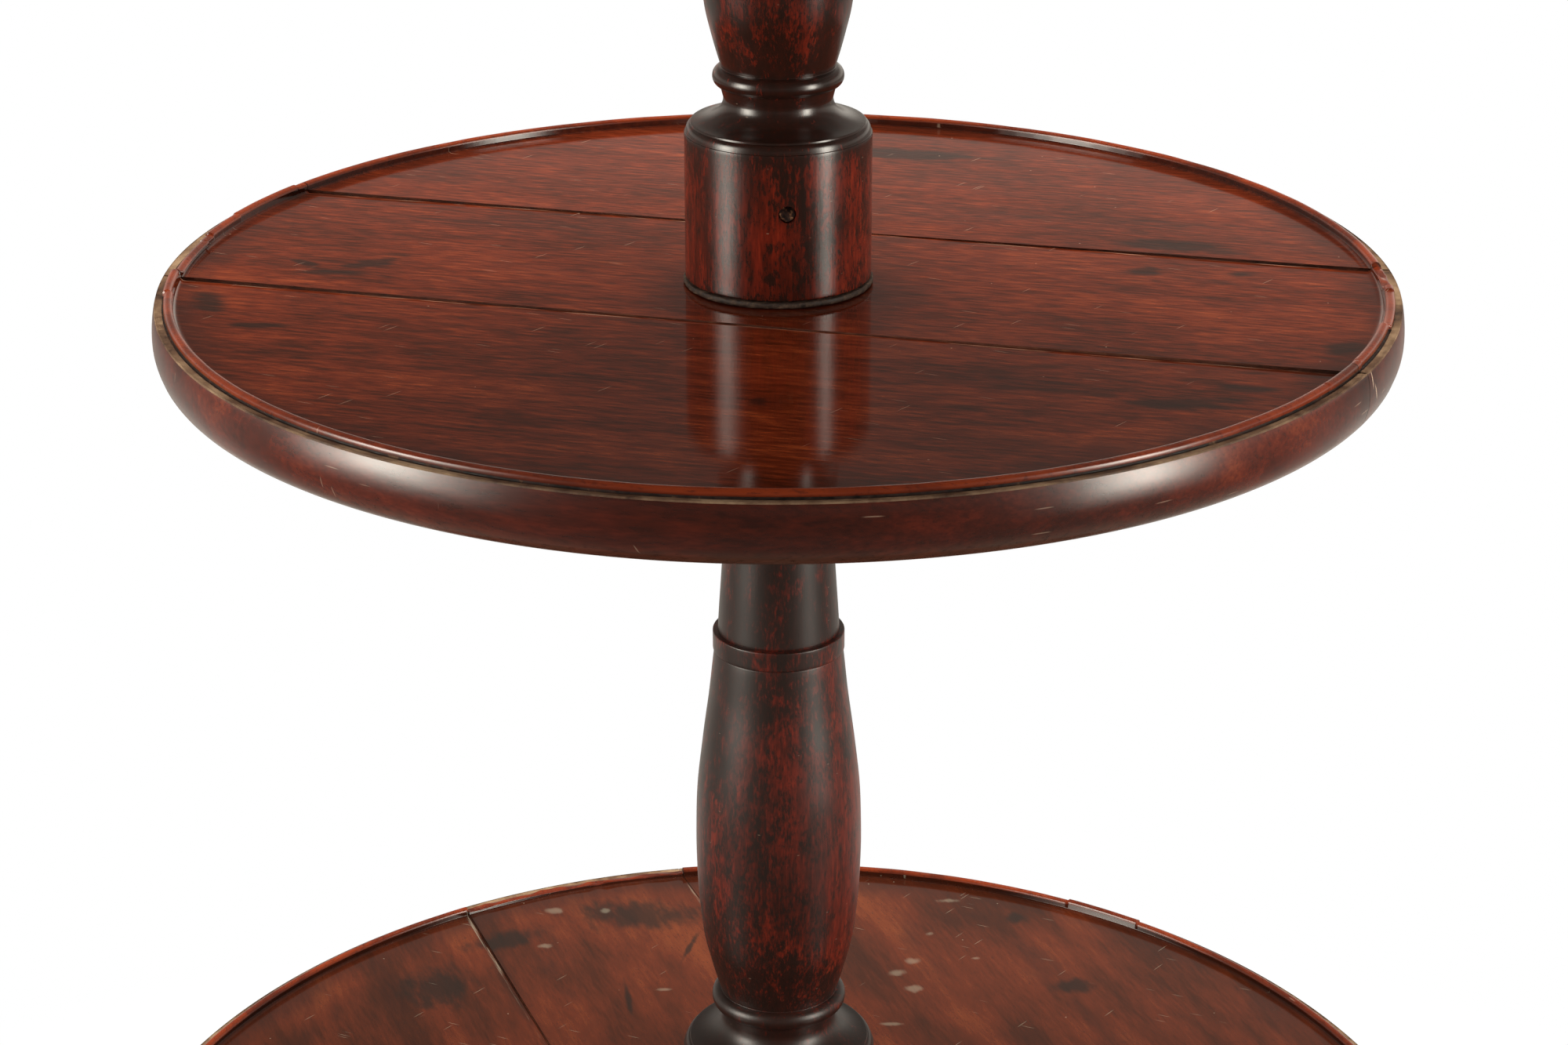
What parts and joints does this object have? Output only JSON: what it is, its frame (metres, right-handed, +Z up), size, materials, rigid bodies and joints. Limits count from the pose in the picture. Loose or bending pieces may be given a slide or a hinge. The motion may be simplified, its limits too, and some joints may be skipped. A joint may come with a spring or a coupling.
{
  "type": "dumbwaiter table",
  "caption": "Tall mahogany dumbwaiter: round dished trays that turn on a turned pillar, over a tripod base with curved legs and pad feet.",
  "frame": {"origin": "on the floor, under the pillar's axis", "axes": "+Z up along the pillar, -Y towards the front leg, +X to the right seen from the front"},
  "size_m": [0.6062, 0.6062, 1.1943],
  "materials": {
    "pillar_mahogany": "old wax polish, satin, dark in the turned hollows",
    "leg_mahogany": "old wax polish, satin",
    "tier_mahogany": "polished, worn and scratched",
    "block": "dull, unpolished underside",
    "peg": "dark end grain",
    "leather": "old, dusty",
    "iron": "dull, blackened"
  },
  "bodies": {
    "stand": {"base_pillar": "pillar_mahogany", "lower_column": "pillar_mahogany", "upper_column": "pillar_mahogany", "front_leg": "leg_mahogany", "right_leg": "leg_mahogany", "left_leg": "leg_mahogany", "leg_plate": "iron", "plate_screw_1": "iron", "plate_screw_2": "iron", "plate_screw_3": "iron", "lower_peg": "peg", "upper_peg": "peg", "lower_washer": "leather", "upper_washer": "leather"},
    "lower_tier": {"lower_tier_front_board": "tier_mahogany", "lower_tier_centre_board": "tier_mahogany", "lower_tier_back_board": "tier_mahogany", "lower_tier_block": "block", "lower_tier_screw_1": "iron", "lower_tier_screw_2": "iron", "lower_tier_screw_3": "iron", "lower_tier_screw_4": "iron"},
    "middle_tier": {"middle_tier_front_board": "tier_mahogany", "middle_tier_centre_board": "tier_mahogany", "middle_tier_back_board": "tier_mahogany", "middle_tier_block": "block", "middle_tier_screw_1": "iron", "middle_tier_screw_2": "iron", "middle_tier_screw_3": "iron", "middle_tier_screw_4": "iron"},
    "top_tier": {"top_tier_front_board": "tier_mahogany", "top_tier_back_board": "tier_mahogany", "top_tier_block": "block", "top_tier_screw_1": "iron", "top_tier_screw_2": "iron", "top_tier_screw_3": "iron", "top_tier_screw_4": "iron"}
  },
  "joints": [
    {"name": "lower_tier_turn", "type": "hinge", "parent": "stand", "child": "lower_tier", "pos_m": [0, 0, 0.355], "axis": [0, 0, 1], "continuous": true},
    {"name": "middle_tier_turn", "type": "hinge", "parent": "stand", "child": "middle_tier", "pos_m": [0, 0, 0.778], "axis": [0, 0, 1], "continuous": true},
    {"name": "top_tier_turn", "type": "hinge", "parent": "stand", "child": "top_tier", "pos_m": [0, 0, 1.18], "axis": [0, 0, 1], "continuous": true}
  ]
}
